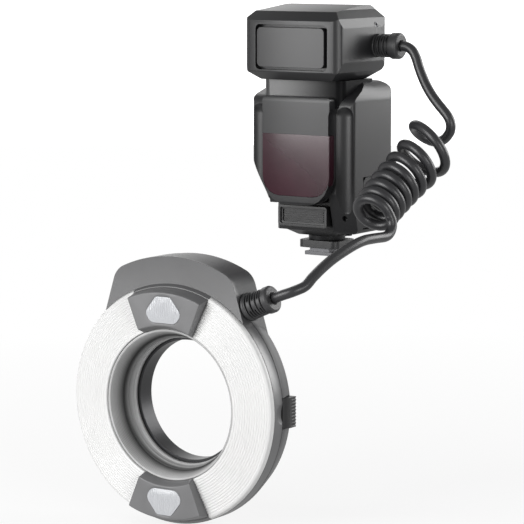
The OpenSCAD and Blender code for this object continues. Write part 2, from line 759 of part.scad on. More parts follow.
module head_cord_boot() {
  color(black_plastic) translate([0, head_boot_y, head_boot_z]) rotate([0, 90, 0]) rotate_extrude()
    polygon(concat([[0, head_half - 6], [head_boot_r - 1.6, head_half - 6], [head_boot_r - 1.6,
      head_half + eps]],
      [for (i = [0:4], p = [[0, 0], [0, 1], [-0.9, 1], [-0.9, 1.8]])
        [head_boot_r + p.x, head_half + eps + i * 1.8 + p.y]],
      [[collar_r - 0.8, head_half + head_boot_l - collar_l], [collar_r,
        head_half + head_boot_l - collar_l + 0.8],
       [collar_r, head_half + head_boot_l - 1.4], [collar_r - 1.4, head_half + head_boot_l],
       [cord_d / 2 + 0.6, head_half + head_boot_l], [cord_d / 2 + 0.6, head_half + head_boot_l - 0.2],
       [0, head_half + head_boot_l - 0.2]]));
}

// The ring head
module on_ring() { translate([0, -ring_ahead, -ring_drop]) rotate([90, 0, 0]) children(); }
module ring_of(r0, r1, z0, z1) {
  difference() {
    translate([0, 0, z0]) cylinder(r = r1, h = z1 - z0, $fn = 128);
    translate([0, 0, z0 - 1]) cylinder(r = r0, h = z1 - z0 + 2, $fn = 128);
  }
}
// The hump's side meets its round top in a fillet of radius f, whose centre lies at q
module hump_outline() {
  f = 11;
  foot = [0.758 * ring_r, ring_r / 2];
  along = unit([-0.2, 0.65]);
  inward = [-along.y, along.x];
  base = foot + f * inward;
  m = along * base;
  q = base + along * (sqrt(m * m - base * base + pow(hump_r - f, 2)) - m);
  a0 = atan2(-inward.y, -inward.x);
  a1 = atan2(q.y, q.x);
  right = concat([foot], [for (i = [0:8]) let(a = a0 + (a1 - a0) * i / 8) q + f * [cos(a), sin(a)]],
    [for (i = [1:10]) let(a = a1 + (90 - a1) * i / 10) hump_r * [cos(a), sin(a)]]);
  polygon(concat(right, [for (i = [len(right) - 2:-1:0]) [-right[i].x, right[i].y]]));
}
module hump(z0, z1, inner) {
  difference() {
    translate([0, 0, z0]) linear_extrude(z1 - z0) hump_outline();
    translate([0, 0, z0 - 1]) cylinder(r = inner, h = z1 - z0 + 2, $fn = 128);
  }
}
// A rim that sets the hump's back part in from its sides
module hump_edge(z0, z1) {
  translate([0, 0, z0 - 1]) linear_extrude(z1 - z0 + 1) difference() {
    translate([-ring_r, ring_r / 2]) square(2 * ring_r);
    translate([0, ring_r]) scale(0.965) translate([0, -ring_r]) hump_outline();
  }
}
module ring_front_housing() {
  color(ring_grey) on_ring() difference() {
    union() {
      ring_of(tube_r, ring_r, -front_depth, -diffuser_t);
      hump(-front_depth, hump_face, ring_r - 1);
      ring_of(tube_r, tube_r + tube_wall, -front_depth - 7, -front_depth + eps);
      rotate_extrude($fn = 128) polygon([[diffuser_r + 0.1, -front_depth + 1], [ring_r, -front_depth + 1],
        [ring_r, -2.6], [ring_r - 1.3, -0.5], [diffuser_r + 0.1, -0.5]]);
    }
    ring_of(tube_r + tube_wall, ring_r - 2.2, -front_depth + tray_floor, -diffuser_t);
    translate([0, 0, -diffuser_t]) cylinder(r = diffuser_r + 0.1, h = 20, $fn = 128);
    rotate_extrude($fn = 128) polygon([[ring_r - seam_gap, -front_depth - 1], [ring_r + 1, -front_depth - 1],
      [ring_r + 1, -front_depth + seam_gap], [ring_r, -front_depth + seam_gap], [ring_r - seam_gap,
        -front_depth]]);
    thumb_hollows();
    boot_hole();
  }
}
// A shallow hollow on each side, where a finger reaches the release button
module thumb_hollows() {
  both_sides() translate([ring_r + thumb_r - 1.2, 0, -front_depth]) sphere(r = thumb_r);
}
module back_taper() {
  rotate_extrude($fn = 128) polygon([[0, -front_depth], [ring_r - seam_gap, -front_depth],
    [ring_r, -front_depth - seam_gap], [ring_r, -front_depth - 2],
    [ring_r - 3.4, -ring_depth], [0, -ring_depth]]);
}
module ring_rear_housing() {
  color(ring_grey) on_ring() difference() {
    union() {
      back_taper();
      hump(hump_step, -front_depth, ring_r - 4.6);
      difference() {
        hump(hump_back, hump_step + eps, ring_r - 4.6);
        hump_edge(hump_back, hump_step);
      }
    }
    translate([0, 0, -ring_depth - 3]) cylinder(r = bore_r, h = 20, $fn = 128);
    ring_of(bore_r - 1, ring_r - 5.4, -ring_depth + back_wall, 0);
    both_sides() box(release_in - 3 - slide_gap, ring_r + 3, -button_half - slide_gap,
      button_half + slide_gap,
      -ring_depth + back_wall, 0);
    boot_hole();
    thumb_hollows();
    ring_screws_at() translate([0, 0, -ring_depth - 1]) cylinder(r = 1.3, h = 4);
  }
}
module ring_screws_at() { for (a = [45:90:315]) rotate(a) translate([screw_ring_r, 0, 0]) children(); }
module ring_screws() {
  color("dimgray") on_ring() ring_screws_at() difference() {
    translate([0, 0, -ring_depth]) cylinder(r = 1.3, h = ring_depth - front_depth);
    box(-0.9, 0.9, -0.2, 0.2, -ring_depth - 1, -ring_depth + 0.5);
    box(-0.2, 0.2, -0.9, 0.9, -ring_depth - 1, -ring_depth + 0.5);
  }
}
// A diffuser's section: slightly conical, highest at its inner edge
module diffuser(side) {
  half = 90 - lamp_half - 0.25;
  color("white") on_ring() rotate(90 - 90 * side - half) rotate_extrude(angle = 2 * half, $fn = 128)
    polygon([[tube_r, -diffuser_t], [diffuser_r, -diffuser_t], [diffuser_r, -0.6], [diffuser_r - 0.6, 0],
      [mouth_r + 0.6, diffuser_rise], [mouth_r - 0.2, diffuser_rise - 0.6]]);
}
module diffuser_right() { diffuser(1); }
module diffuser_left() { diffuser(-1); }
module reflectors() {
  half = 90 - lamp_half - 3;
  color("silver") on_ring() for (side = [-1, 1]) rotate(90 - 90 * side - half)
    rotate_extrude(angle = 2 * half, $fn = 128)
      polygon([[tube_r + tube_wall + 0.3, -diffuser_t - 0.1], [tube_r + tube_wall + 0.9, -diffuser_t - 0.1],
        [flash_mid - 0.2 * band, -front_depth + tray_floor + 0.6], [flash_mid + 0.2 * band,
          -front_depth + tray_floor + 0.6],
        [ring_r - 3.1, -diffuser_t - 0.1], [ring_r - 2.5, -diffuser_t - 0.1],
        [flash_mid + 0.22 * band, -front_depth + tray_floor], [flash_mid - 0.22 * band,
          -front_depth + tray_floor]]);
}
module flash_tubes() {
  half = 90 - lamp_half - 6;
  color([0.9, 0.95, 1, 0.5]) on_ring() for (side = [-1, 1]) rotate(90 - 90 * side - half) {
    rotate_extrude(angle = 2 * half, $fn = 128)
      translate([flash_mid, -front_depth + tray_floor + 2.6]) circle(r = 1.9, $fn = 24);
    for (a = [4, half, 2 * half - 4]) rotate(a) 
      box(flash_mid - 0.8, flash_mid + 0.8, -1, 1, -front_depth + tray_floor + 0.6,
        -front_depth + tray_floor + 0.9);
  }
}
module lens_outline(grow = 0) {
  translate([0, lens_mid]) polygon(soft(both([[7.6 * lens_size + grow, -6.5 * lens_size - grow,
    4.6 * lens_size],
    [11.5 * lens_size + grow, -1.6 * lens_size, 3.8 * lens_size], [4.4 * lens_size + grow,
      7.1 * lens_size + grow, 2.2]])));
}
module lamp_block(flip) {
  color(ring_grey) on_ring() rotate(flip) difference() {
    rotate(90 - lamp_half) rotate_extrude(angle = 2 * lamp_half, $fn = 128)
      polygon([[tube_r, -diffuser_t], [diffuser_r, -diffuser_t], [diffuser_r, -0.5], [ring_r - 3.6,
        lamp_proud],
        [mouth_r + 1.9, lamp_proud], [mouth_r - 0.2, diffuser_rise]]);
    translate([0, 0, lamp_proud - 1.6]) linear_extrude(3) lens_outline();
    translate([0, lens_mid, -diffuser_t - 1]) cylinder(r = led_r + slide_gap, h = 12);
  }
}
module lamp_block_top() { lamp_block(0); }
module lamp_block_bottom() { lamp_block(180); }
module lamp_lenses() {
  color([0.85, 0.86, 0.88, 0.7]) on_ring() for (flip = [0, 180]) rotate(flip) {
    translate([0, 0, lamp_proud - 1.6]) linear_extrude(1.9) lens_outline();
    translate([0, 0, lamp_proud + 0.3 - eps]) linear_extrude(0.5) lens_outline(-0.8);
  }
}
module lamp_leds() {
  color("khaki") on_ring() for (flip = [0, 180]) rotate(flip) translate([0, lens_mid, 0]) {
    translate([0, 0, -front_depth + tray_floor]) cylinder(r = led_r,
      h = front_depth - tray_floor + lamp_proud - 3.2);
    translate([0, 0, lamp_proud - 3.2 - eps]) cylinder(r = led_r - 1.3, h = 1);
  }
}
module inner_baffle() {
  run = (diffuser_rise - baffle_back) / baffle_steps;
  fall = (mouth_r - 1.1 - baffle_small_r) / baffle_steps;
  color(black_plastic) on_ring() rotate_extrude($fn = 128)
    polygon(concat([[tube_r - 0.1, baffle_back], [tube_r - 0.1, diffuser_rise - 1.2], [mouth_r - 1.1,
      diffuser_rise - 1.2]],
      [for (i = [0:baffle_steps - 1], p = [[0, 0], [0, 1]])
        [mouth_r - 1.1 - fall * (i + 0.35 * p.y), diffuser_rise - 1.2 - (run - 0.15) * (i + p.y)]],
      [[baffle_small_r, baffle_back]]));
}
module ring_board() {
  color("darkgreen") on_ring() ring_of(tube_r + tube_wall + 0.6, screw_ring_r - screw_room,
    -front_depth - 1.6, -front_depth);
}
// A release button and its yoke, a flat ring whose tooth holds the adapter ring on the far side
module release_button(yoke_z) {
  depth = ring_depth - front_depth - back_wall - 2 * slide_gap;
  z0 = -ring_depth + back_wall + slide_gap;
  color(black_plastic) {
    difference() {
      box(release_in, release_out, -button_half, button_half, z0, z0 + depth);
      translate([release_out + 5.5, 0, z0 + depth + 1]) rotate([90, 0, 0]) cylinder(r = 7.4, h = 40,
        center = true);
      for (i = [-4:4]) translate([release_out + 0.35, 1.7 * i, z0 - 1]) cylinder(r = 0.7, h = 5);
    }
    difference() {
      union() {
        ring_of(yoke_in, yoke_out, yoke_z, yoke_z + yoke_t);
        box(yoke_out - 1, release_in + eps, -5, 5, yoke_z, yoke_z + yoke_t);
      }
      translate([0, 0, yoke_z - 1]) cylinder(r = yoke_in - eps, h = 4);
    }
    intersection() {
      ring_of(tooth_r, yoke_in + 1, yoke_z, yoke_z + yoke_t);
      box(-yoke_out, 0, -4, 4, yoke_z - 1, yoke_z + 3);
    }
  }
}
module release_button_right() { on_ring() release_button(yoke_right_z); }
module release_button_left() { on_ring() mirror([1, 0, 0]) release_button(yoke_left_z); }
module adapter_ring() {
  groove0 = -ring_depth + back_wall + 0.1;
  groove1 = yoke_right_z + yoke_t + 0.2;
  color("dimgray") on_ring() rotate_extrude($fn = 128)
    polygon([[adapter_in, -ring_depth - 0.4 - thread_l], [thread_r, -ring_depth - 0.4 - thread_l],
      [thread_r, -ring_depth - 0.4], [bore_r - run_gap, -ring_depth - 0.4], [bore_r - run_gap, groove0],
      [groove_r, groove0], [groove_r, groove1], [bore_r - run_gap, groove1], [bore_r - run_gap,
        adapter_front],
      [adapter_in, adapter_front]]);
}
module boot_axis() {
  translate([ring_boot_x, ring_boot_up, ring_boot_z]) rotate([0, 0, ring_boot_tilt]) rotate([0, 90,
    0]) children();
}
module boot_hole() { boot_axis() translate([0, 0, -6]) cylinder(r = ring_boot_r - 1.8, h = 12); }
module ring_cord_boot() {
  color(black_plastic) on_ring() boot_axis() difference() {
    union() {
      rotate_extrude() polygon([[0, -6], [ring_boot_r - 1.8, -6], [ring_boot_r - 1.8, 2], [ring_boot_r, 2],
        [ring_boot_r, 3.6], [ring_boot_r - 0.6, ring_boot_l - 4], [ring_boot_r, ring_boot_l - 3.6],
        [ring_boot_r, ring_boot_l - 1], [ring_boot_r - 1, ring_boot_l], [0, ring_boot_l]]);
      translate([0, 0, 2]) linear_extrude(1.6) polygon(soft(both([[7.5, -7.3, 6.6], [7.5, 7.3, 6.6]])));
    }
    for (i = [0:4], s = [0, 180]) translate([0, 0, 4 + 2.6 * i]) rotate(90 * (i % 2) + s)
      box(2.6, ring_boot_r + 1, -4.6, 4.6, 0, 1.3);
  }
}

// The cord
function coil_axis(t) = (1 - t) * (1 - t) * coil_back + 2 * t * (1 - t) * coil_bend + t * t * coil_front;
function coil_along(t) = unit((1 - t) * (coil_bend - coil_back) + t * (coil_front - coil_bend));
// How far along the axis turn u lies: the first turn is drawn out
function coil_share(u) = (u + coil_spread * (1 - exp(-u / 0.8))) / (8 + coil_spread);
// The curl's radius: it tightens towards the ring, and the cord is tucked in where it arrives
function curl_r(u) = coil_r - coil_tighten * sqrt(u / 8) - tuck * exp(-pow(u / tuck_turns, 2));
function curl(u) =
  let(t = coil_share(u), ahead = coil_along(t), up = unit([0, 0, 1] - ahead * ahead.z), side = cross(up,
    ahead))
  coil_axis(t) + curl_r(u) * (cos(360 * u) * side - sin(360 * u) * up)
    + exp(-pow(2 * (u - coil_start), 2)) * tuck_aside;
function curl_dir(u) = unit(curl(u + 0.01) - curl(u - 0.01));
curl_in = curl(coil_start) - 0.6 * curl_dir(coil_start);
curl_out = curl(coil_turns) + 2 * curl_dir(coil_turns);
curl_path = concat([curl_in], [for (u = [coil_start:1 / curl_rings:coil_turns - 0.01]) curl(u)],
  [curl(coil_turns), curl_out]);
// A smooth curve through a list of points
function spline(p, n) = let(m = len(p) - 1) concat([for (i = [0:m - 1], k = [0:n - 1])
  let(a = p[max(i - 1, 0)] + (i == 0 ? p[0] - p[1] : [0, 0, 0]), b = p[i], c = p[i + 1],
      d = p[min(i + 2, m)] + (i == m - 1 ? p[m] - p[m - 1] : [0, 0, 0]), t = k / n)
  0.5 * (2 * b + (c - a) * t + (2 * a - 5 * b + 4 * c - d) * t * t + (3 * b - a - 3 * c + d) * t * t * t)],
  [p[m]]);
// Rings of points round a path, each square to it and turned as little as possible from the last
function ring_dirs(p, first, last) = let(m = len(p) - 1) [for (i = [0:m])
  i == 0 ? first : i == m ? last : unit(unit(p[i + 1] - p[i]) + unit(p[i] - p[i - 1]))];
function carried(dirs, i = 0, v = [0, 0, 1]) = i >= len(dirs) ? [] :
  let(w = unit(v - dirs[i] * (v * dirs[i]))) concat([w], carried(dirs, i + 1, w));
module tube(path, r, n, first, last) {
  dirs = ring_dirs(path, first, last);
  ups = carried(dirs);
  m = len(path) - 1;
  points = [for (i = [0:m], k = [0:n - 1])
    path[i] + r * (cos(360 * k / n) * ups[i] + sin(360 * k / n) * cross(dirs[i], ups[i]))];
  sides = [for (i = [0:m - 1], k = [0:n - 1])
    let(a = i * n + k, b = i * n + (k + 1) % n) each [[a, a + n, b], [b, a + n, b + n]]];
  ends = [for (k = [1:n - 2]) each [[0, k, k + 1], [m * n, m * n + k + 1, m * n + k]]];
  polyhedron(points, concat(sides, ends));
}
// Least distance between stretches of the curls that lie over half a turn apart along the cord
function curl_gap() = min([for (i = [0:4:len(curl_path) - 1], j = [i + 8:1:len(curl_path) - 1])
  norm(curl_path[i] - curl_path[j])]) - cord_d;
echo(curl_gap_mm = curl_gap());
module cord_upper() {
  color("#333333") tube(spline(concat(upper_route, [curl_in]), 2), cord_d / 2, cord_sides, [1, 0, 0],
    curl_dir(coil_start));
}
module cord_coil() {
  color("#333333") tube(curl_path, cord_d / 2, cord_sides, curl_dir(coil_start), curl_dir(coil_turns));
}
module cord_lower() {
  color("#333333") tube(spline(concat([curl_out], [for (p = lower_turn) curl_out + p], lower_route,
    [boot_end]), 2),
    cord_d / 2, cord_sides, curl_dir(coil_turns), -boot_dir);
}

hot_shoe_foot();
contact_carrier();
contact_pins();
foot_base();
foot_spindle();
lock_lever();
lock_pin();
body_front_shell();
body_rear_shell();
body_screws();
af_window();
af_emitter();
sensor_cover();
battery_tray();
aa_cells();
battery_contacts();
battery_door();
door_contacts();
door_hinge_pin();
main_board();
lcd_module();
lcd_window();
function_button_1();
function_button_2();
function_button_3();
function_button_4();
control_dial();
dial_retainer();
set_button();
power_switch();
test_button();
ready_lamp();
neck();
head_front_shell();
head_rear_shell();
head_front_panel();
head_screws();
main_capacitor();
head_cord_boot();
ring_front_housing();
ring_rear_housing();
diffuser_left();
diffuser_right();
reflectors();
flash_tubes();
lamp_block_top();
lamp_block_bottom();
lamp_lenses();
lamp_leds();
inner_baffle();
ring_board();
release_button_left();
release_button_right();
adapter_ring();
ring_screws();
ring_cord_boot();
cord_upper();
cord_coil();
cord_lower();
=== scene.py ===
import bpy
import json
import math
import numpy as np
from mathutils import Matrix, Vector


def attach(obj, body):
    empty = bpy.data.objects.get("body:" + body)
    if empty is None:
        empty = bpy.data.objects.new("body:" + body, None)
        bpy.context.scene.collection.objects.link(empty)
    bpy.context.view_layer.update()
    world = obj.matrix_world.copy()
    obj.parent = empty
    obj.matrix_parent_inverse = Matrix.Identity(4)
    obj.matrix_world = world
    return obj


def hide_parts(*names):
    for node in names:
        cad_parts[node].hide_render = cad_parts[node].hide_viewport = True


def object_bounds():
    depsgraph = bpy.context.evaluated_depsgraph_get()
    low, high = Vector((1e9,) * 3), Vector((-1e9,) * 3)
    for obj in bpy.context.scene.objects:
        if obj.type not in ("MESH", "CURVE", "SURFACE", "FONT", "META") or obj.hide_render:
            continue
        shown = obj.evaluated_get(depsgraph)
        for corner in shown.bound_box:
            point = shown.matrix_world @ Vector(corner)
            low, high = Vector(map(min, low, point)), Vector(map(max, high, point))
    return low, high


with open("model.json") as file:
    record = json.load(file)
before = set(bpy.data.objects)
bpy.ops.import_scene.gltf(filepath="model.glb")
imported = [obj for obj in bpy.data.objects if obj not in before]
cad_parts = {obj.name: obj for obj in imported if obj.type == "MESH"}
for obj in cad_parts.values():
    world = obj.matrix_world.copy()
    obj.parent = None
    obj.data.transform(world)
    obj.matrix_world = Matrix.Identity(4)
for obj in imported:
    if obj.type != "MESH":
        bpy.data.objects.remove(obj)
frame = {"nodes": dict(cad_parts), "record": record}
cadLow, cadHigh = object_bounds()
millimetre = 0.001
collection = bpy.context.scene.collection

# View from the photo's direction: optics in millimetres, place in metres, angles in degrees
viewSizes = dict(lens=178.63, sensor=36, near=0.01, place=(0.766, -1.224, 0.183), down=7.41, turn=33.48)
cameraData = bpy.data.cameras.new("viewCamera")
cameraData.lens = viewSizes["lens"]
cameraData.sensor_width = viewSizes["sensor"]
cameraData.clip_start = viewSizes["near"]
camera = bpy.data.objects.new("viewCamera", cameraData)
camera.location = viewSizes["place"]
camera.rotation_euler = (math.radians(90 - viewSizes["down"]), 0, math.radians(viewSizes["turn"]))
collection.objects.link(camera)
bpy.context.scene.camera = camera
print("stage: camera")


# A mesh object from points and faces given as whole arrays, placed by its vertices
def pieceFrom(name, points, faces):
    mesh = bpy.data.meshes.new(name)
    mesh.from_pydata(np.asarray(points).reshape(-1, 3).tolist(), [], faces)
    mesh.validate()
    mesh.polygons.foreach_set("use_smooth", np.ones(len(mesh.polygons), bool))
    piece = bpy.data.objects.new(name, mesh)
    collection.objects.link(piece)
    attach(piece, "flash_unit")
    return piece


# Quads between neighbouring rows and columns of a grid, rows and columns closed on request
def gridFaces(rows, columns, closeRows=False, closeColumns=False):
    i = np.arange(rows if closeRows else rows - 1)[:, None]
    j = np.arange(columns if closeColumns else columns - 1)[None, :]
    nextRow, nextColumn = (i + 1) % rows, (j + 1) % columns
    corners = [i * columns + j, i * columns + nextColumn,
               nextRow * columns + nextColumn, nextRow * columns + j]
    return np.stack(np.broadcast_arrays(*corners), -1).reshape(-1, 4).tolist()


# Two faces that close the first and the last row of a grid
def endCaps(rows, columns):
    return [list(range(columns))[::-1], list(range((rows - 1) * columns, rows * columns))]


# The same faces seen from their other side
def turnedOver(faces):
    return [face[::-1] for face in faces]


# Where the ring head stands: the plane of its diffusers' outer edge, and the height of its axis
# (the sizes of all pieces are in millimetres)
ringPlace = dict(front=-151.0, middle=-62.4)


# Ring coordinates (right, up, forward from that plane) to the frame, in metres
def onRing(x, y, z):
    return np.stack([x, ringPlace["front"] - z, ringPlace["middle"] + y], -1) * millimetre


# Direction in which a boot points: level to the right, tilted upwards by an angle in degrees
def bootDirection(tilt):
    return np.array([math.cos(math.radians(tilt)), 0, math.sin(math.radians(tilt))])


# Where the cord leaves each unit: the head's flank, and the hump's shoulder by its direction from the axis
headBootPlace = dict(behind=1.5, up=117, reach=46.3)
headBootStart = np.array([0, headBootPlace["behind"], headBootPlace["up"]])
ringBootPlace = dict(radius=62.6, right=0.637, up=0.832, behind=10, tilt=21, length=18)
ringBootStart = np.array([ringBootPlace["right"] * ringBootPlace["radius"],
                          ringPlace["front"] + ringBootPlace["behind"],
                          ringPlace["middle"] + ringBootPlace["up"] * ringBootPlace["radius"]])

# The cord: chosen points joined by smooth curves, and a helix round a bent axis between them
cordSizes = dict(diameter=5.4, start=0.2, turns=7.95, axisTurns=8, radius=14.2, tighten=4.4, spread=3.35,
                 spreadTurns=0.8, tuck=7.0, tuckTurns=0.4, tuckAside=(-11.0, 0, 0), asideTurns=0.5,
                 leadIn=0.6, leadOut=2, sides=20, perTurn=56, perSpan=8)
headEnd = headBootStart + headBootPlace["reach"] * bootDirection(0)
upperPoints = [headEnd, headEnd + [3.6, 0, -0.3], headEnd + [7.2, -0.2, -2.4], headEnd + [9.8, -0.5, -6.2],
               [58.6, 0, 105.6], [61.4, -0.8, 100.4], [64.6, -1.6, 95.4], [68.1, -2.3, 91],
               [71.6, -2.8, 87.3], [75, -3.1, 84], [78.05, -3.3, 80.9], [79.8, -3.3, 78.1],
               [80.3, -3.1, 75.1], [79.6, -2.6, 72.2]]
ringEnd = ringBootStart + ringBootPlace["length"] * bootDirection(ringBootPlace["tilt"])
lowerTurn = np.array([[0, 0, 0], [0.9, 0.7, -3.1], [1.4, 0, -6.3], [1.6, -2, -8.8], [1.6, -4.6, -10.2],
                      [1.5, -8.2, -10.7]])
lowerPoints = [[78.9, -76.4, 21.8], [78.8, -82.5, 21.9], [78.5, -88.5, 21.8], [78.1, -95, 20.9],
               [77.4, -101.8, 19.2], [76.4, -109, 16.9], [75.2, -116.4, 14], [74, -123.4, 10.5],
               [72.8, -129.8, 6.6], ringEnd + [14.6, 6.6, 6.6], ringEnd + [10.8, 1.7, 4.2],
               ringEnd + [5.4, 0, 2.1], ringEnd]
coilAxis = np.array([[87.3, 0.8, 80.5], [64.8, -30.7, 49.6], [67.6, -62.8, 31.3]])


# Point on the helix: axis (quadratic curve) + radius * (cosine sideways - sine upwards) at u turns,
# the first turn drawn out along the axis, and tucked in and aside by bell curves where the cord arrives
def curl(u):
    u = np.atleast_1d(np.asarray(u, float))[:, None]
    drawn = u + cordSizes["spread"] * (1 - np.exp(-u / cordSizes["spreadTurns"]))
    t = drawn / (cordSizes["axisTurns"] + cordSizes["spread"])
    middle = (1 - t) ** 2 * coilAxis[0] + 2 * t * (1 - t) * coilAxis[1] + t ** 2 * coilAxis[2]
    ahead = (1 - t) * (coilAxis[1] - coilAxis[0]) + t * (coilAxis[2] - coilAxis[1])
    ahead /= np.linalg.norm(ahead, axis=1, keepdims=True)
    up = np.array([0, 0, 1.0]) - ahead * ahead[:, 2:]
    up /= np.linalg.norm(up, axis=1, keepdims=True)
    side = np.cross(up, ahead)
    radius = (cordSizes["radius"] - cordSizes["tighten"] * np.sqrt(u / cordSizes["axisTurns"])
              - cordSizes["tuck"] * np.exp(-(u / cordSizes["tuckTurns"]) ** 2))
    aside = np.exp(-((u - cordSizes["start"]) / cordSizes["asideTurns"]) ** 2) * cordSizes["tuckAside"]
    return middle + radius * (np.cos(2 * np.pi * u) * side - np.sin(2 * np.pi * u) * up) + aside


# Direction of the helix at u turns, by a central difference
def curlDirection(u, half=0.01):
    step = curl(u + half)[0] - curl(u - half)[0]
    return step / np.linalg.norm(step)


# Catmull-Rom curve through the points, its ends reflected
def smoothCurve(points, perSpan):
    p = np.asarray(points, float)
    p = np.vstack([2 * p[0] - p[1], p, 2 * p[-1] - p[-2]])
    a, b, c, d = (p[k:len(p) - 3 + k, None, :] for k in range(4))
    t = np.linspace(0, 1, perSpan, endpoint=False)[None, :, None]
    curve = 0.5 * (2 * b + (c - a) * t + (2 * a - 5 * b + 4 * c - d) * t ** 2
                   + (3 * b - a - 3 * c + d) * t ** 3)
    return np.vstack([curve.reshape(-1, 3), p[-2]])


# A round tube along a path: each ring is square to the path and turned as little as possible
def tubeAlong(path, radius, sides):
    along = np.gradient(path, axis=0)
    along /= np.linalg.norm(along, axis=1, keepdims=True)
    ups = np.empty_like(path)
    carried = np.array([0, 1.0, 0])
    for k, direction in enumerate(along):
        carried = carried - direction * (carried @ direction)
        carried = carried / np.linalg.norm(carried)
        ups[k] = carried
    angle = np.linspace(0, 2 * np.pi, sides, endpoint=False)[None, :, None]
    sideways = np.cross(along, ups)
    points = path[:, None] + radius * (np.cos(angle) * ups[:, None] + np.sin(angle) * sideways[:, None])
    return points, gridFaces(len(path), sides, closeColumns=True) + endCaps(len(path), sides)


coilStart, coilEnd = cordSizes["start"], cordSizes["turns"]
curlStart = curl(coilStart)[0] - cordSizes["leadIn"] * curlDirection(coilStart)
curlEnd = curl(coilEnd)[0] + cordSizes["leadOut"] * curlDirection(coilEnd)
turnSteps = int(cordSizes["perTurn"] * (coilEnd - coilStart))
cordPath = np.vstack([
    smoothCurve(np.vstack([upperPoints, curlStart]), cordSizes["perSpan"])[:-1],
    curl(np.linspace(coilStart, coilEnd, turnSteps)),
    smoothCurve(np.vstack([curlEnd + lowerTurn, lowerPoints]), cordSizes["perSpan"])]) * millimetre
points, faces = tubeAlong(cordPath, cordSizes["diameter"] / 2 * millimetre, cordSizes["sides"])
curlyCord = pieceFrom("curlyCord", points, turnedOver(faces))
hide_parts("cord_upper", "cord_coil", "cord_lower")


# A closed section (radius, forward) carried round the ring's axis from one angle to another
def sectorPiece(name, section, start, end, steps):
    whole = end - start >= 360
    angle = np.radians(np.linspace(start, end, steps, endpoint=not whole))[:, None]
    radius, forward = section[None, :, 0], section[None, :, 1]
    points = onRing(radius * np.cos(angle), radius * np.sin(angle), forward + 0 * angle)
    faces = gridFaces(steps, len(section), closeRows=whole, closeColumns=True)
    if not whole:
        faces += endCaps(steps, len(section))
    return pieceFrom(name, points, faces)


# Diffusers: a cone of rounded ridges, each a half sine, from a lip over the ring's rim to a soft inner edge
diffuserSizes = dict(inner=39.7, outer=61.4, back=-2.98, innerBack=39.55, outerBack=60.65, rise=2.3, dip=0.2,
                     edge=0.5, ridges=15, height=0.36, halfAngle=67.25, perRidge=7, perEdge=6, steps=120)
lip = np.array([[60.9, -0.62], [61.2, -0.62], [62.28, -2.4], [62.42, -2.28], [61.42, -0.5], [61.2, -0.3]])
inner, outer, edge, back = (diffuserSizes[k] for k in ("inner", "outer", "edge", "back"))
share = np.linspace(0, 1, diffuserSizes["ridges"] * diffuserSizes["perRidge"] + 1)
ridgeHeight = diffuserSizes["height"] * (np.abs(np.sin(np.pi * share * diffuserSizes["ridges"])) - 1)
cone = np.stack([outer - edge - share * (outer - inner - 2 * edge),
                 share * diffuserSizes["rise"] + ridgeHeight], -1)
edgeTurn = np.radians(np.linspace(0, 90, diffuserSizes["perEdge"]))
innerEdge = np.stack([inner + edge * (1 - np.sin(edgeTurn)),
                      diffuserSizes["rise"] - diffuserSizes["dip"] - edge * (1 - np.cos(edgeTurn))], -1)
diffuserSection = np.vstack([[[diffuserSizes["innerBack"], back], [diffuserSizes["outerBack"], back]],
                             lip, cone[1:-1], innerEdge])
diffusers = []
for name, node, turn in (("diffuserRightRibbed", "diffuser_right", 0),
                         ("diffuserLeftRibbed", "diffuser_left", 180)):
    piece = sectorPiece(name, diffuserSection, turn - diffuserSizes["halfAngle"],
                        turn + diffuserSizes["halfAngle"], diffuserSizes["steps"])
    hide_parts(node)
    diffusers.append(piece)
print("stage: diffusers")

# Funnel: fine ribs (a raised cosine) on a cone near the mouth, then broad steps down to the adapter ring
funnelSizes = dict(mouth=38.6, throat=33.05, front=1.08, back=-16.38, outer=39.38, chamfer=0.25, ribs=11,
                   ribDepth=0.45, coneShare=0.5, coneDrop=3.0, broadSteps=3, nose=0.15, slope=0.12,
                   fillet=0.3, land=0.05, perRib=6, steps=160)
front, back, outer, chamfer = (funnelSizes[k] for k in ("front", "back", "outer", "chamfer"))
share = np.linspace(0, 1, funnelSizes["ribs"] * funnelSizes["perRib"] + 1)
coneBack = front + funnelSizes["coneShare"] * (back - front)
ribbed = np.stack([funnelSizes["mouth"] - funnelSizes["coneDrop"] * share
                   - funnelSizes["ribDepth"] * (0.5 - 0.5 * np.cos(2 * np.pi * share * funnelSizes["ribs"])),
                   front + share * (coneBack - front)], -1)
treads = np.linspace(ribbed[-1, 0], funnelSizes["throat"], funnelSizes["broadSteps"] + 1)
levels = np.linspace(coneBack, back, funnelSizes["broadSteps"] + 1)
stepRadius = np.stack([treads[:-1] - funnelSizes["nose"], treads[1:] + funnelSizes["nose"],
                       treads[1:], treads[1:]], -1)
stepLevel = np.stack([levels[:-1], levels[:-1] - funnelSizes["slope"], levels[:-1] - funnelSizes["fillet"],
                      levels[1:] + funnelSizes["land"]], -1)
broad = np.stack([stepRadius.ravel(), stepLevel.ravel()], -1)
funnelSection = np.vstack([[[outer, back], [outer, front - chamfer], [outer - chamfer, front]],
                           ribbed, broad])
funnel = sectorPiece("ribbedFunnel", funnelSection, 0, 360, funnelSizes["steps"])
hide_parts("inner_baffle")
print("stage: funnel")

# Lamp lenses: the rounded outline filled from its middle, pillowed, with ribs as a cosine across its width
lensSizes = dict(middle=49.707, back=5.02, rim=6.7, crown=7.4, crownPower=4, ribPitch=1.3, ribHeight=0.26,
                 ribStart=0.12, rings=44, perCorner=9, perSide=14)
lensCorners = [(7.6, -6.5, 4.6), (11.5, -1.6, 3.8), (4.4, 7.1, 2.2),
               (-4.4, 7.1, 2.2), (-11.5, -1.6, 3.8), (-7.6, -6.5, 4.6)]  # x, y and corner radius


